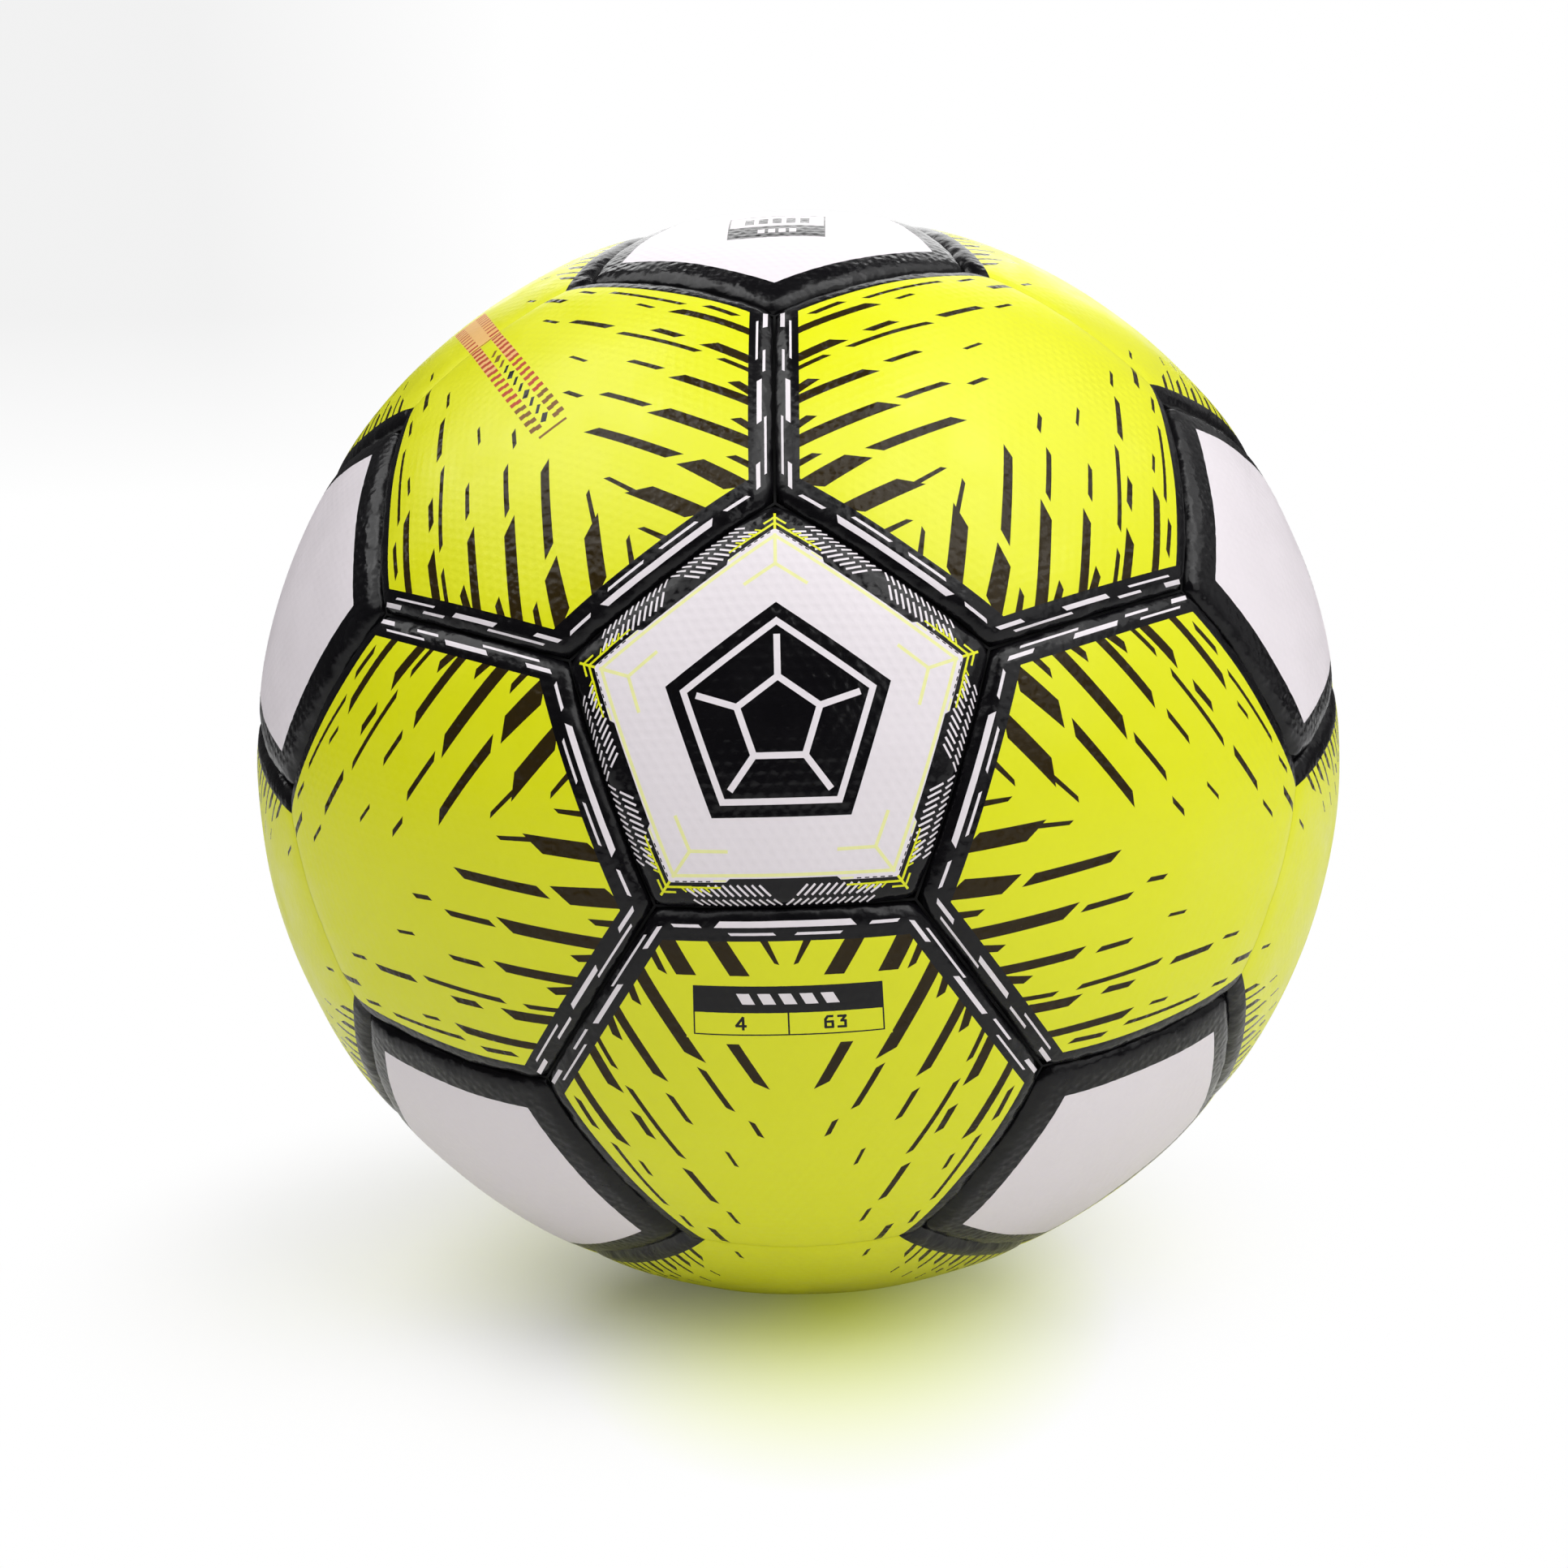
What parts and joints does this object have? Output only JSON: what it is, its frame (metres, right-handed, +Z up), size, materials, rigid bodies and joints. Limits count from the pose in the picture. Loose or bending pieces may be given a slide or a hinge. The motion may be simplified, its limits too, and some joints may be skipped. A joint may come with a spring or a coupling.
{
  "type": "soccer ball",
  "caption": "Inflated soccer ball: bonded pentagon and hexagon cover panels over a wound, rubber-coated bladder, with an air valve whose core pulls out.",
  "frame": {"origin": "centre of the ball", "axes": "+Z up as the ball rests, decorated pentagon towards -Y and tipped up 9.5 degrees, +X to the right of someone looking along +Y"},
  "size_m": [0.2004, 0.2006, 0.2006],
  "materials": {
    "cover_white": "satin",
    "cover_yellow": "satin",
    "cover_foam": "matte",
    "backing_cloth": "matte",
    "adhesive": "satin",
    "carcass_rubber": "satin",
    "thread": "satin",
    "bladder_rubber": "satin",
    "liner_foam": "matte",
    "patch_rubber": "matte",
    "valve_rubber": "satin"
  },
  "bodies": {
    "ball": {"bladder": "bladder_rubber", "bounce_damping_liner": "liner_foam", "carcass_rubber_coat": "carcass_rubber", "hexagon_backing_fabrics": "backing_cloth", "hexagon_cover_mid_back_1": "cover_yellow", "hexagon_cover_mid_back_2": "cover_yellow", "hexagon_cover_mid_back_3": "cover_yellow", "hexagon_cover_mid_back_4": "cover_yellow", "hexagon_cover_mid_back_5": "cover_yellow", "hexagon_cover_mid_front_1": "cover_yellow", "hexagon_cover_mid_front_2": "cover_yellow", "hexagon_cover_mid_front_3": "cover_yellow", "hexagon_cover_mid_front_4": "cover_yellow", "hexagon_cover_mid_front_5": "cover_yellow", "hexagon_cover_ring_back_1": "cover_yellow", "hexagon_cover_ring_back_2": "cover_yellow", "hexagon_cover_ring_back_3": "cover_yellow", "hexagon_cover_ring_back_4": "cover_yellow", "hexagon_cover_ring_back_5": "cover_yellow", "hexagon_cover_ring_front_1": "cover_yellow", "hexagon_cover_ring_front_2": "cover_yellow", "hexagon_cover_ring_front_3": "cover_yellow", "hexagon_cover_ring_front_4": "cover_yellow", "hexagon_cover_ring_front_5": "cover_yellow", "hexagon_foam_pads": "cover_foam", "pentagon_backing_fabrics": "backing_cloth", "pentagon_cover_back": "cover_white", "pentagon_cover_front": "cover_white", "pentagon_cover_ring_back_1": "cover_white", "pentagon_cover_ring_back_2": "cover_white", "pentagon_cover_ring_back_3": "cover_white", "pentagon_cover_ring_back_4": "cover_white", "pentagon_cover_ring_back_5": "cover_white", "pentagon_cover_ring_front_1": "cover_white", "pentagon_cover_ring_front_2": "cover_white", "pentagon_cover_ring_front_3": "cover_white", "pentagon_cover_ring_front_4": "cover_white", "pentagon_cover_ring_front_5": "cover_white", "pentagon_foam_pads": "cover_foam", "seam_adhesive": "adhesive", "thread_winding": "thread", "valve_housing": "valve_rubber", "valve_panel_backing_fabric": "backing_cloth", "valve_panel_foam_pad": "cover_foam", "valve_reinforcement_patch": "patch_rubber"},
    "valve_core": {"valve_core": "valve_rubber"}
  },
  "joints": [
    {"name": "valve_core_pull", "type": "slide", "parent": "ball", "child": "valve_core", "axis": [-0.5774, -0.0539, 0.8147], "range_m": [0, 0.025]}
  ]
}
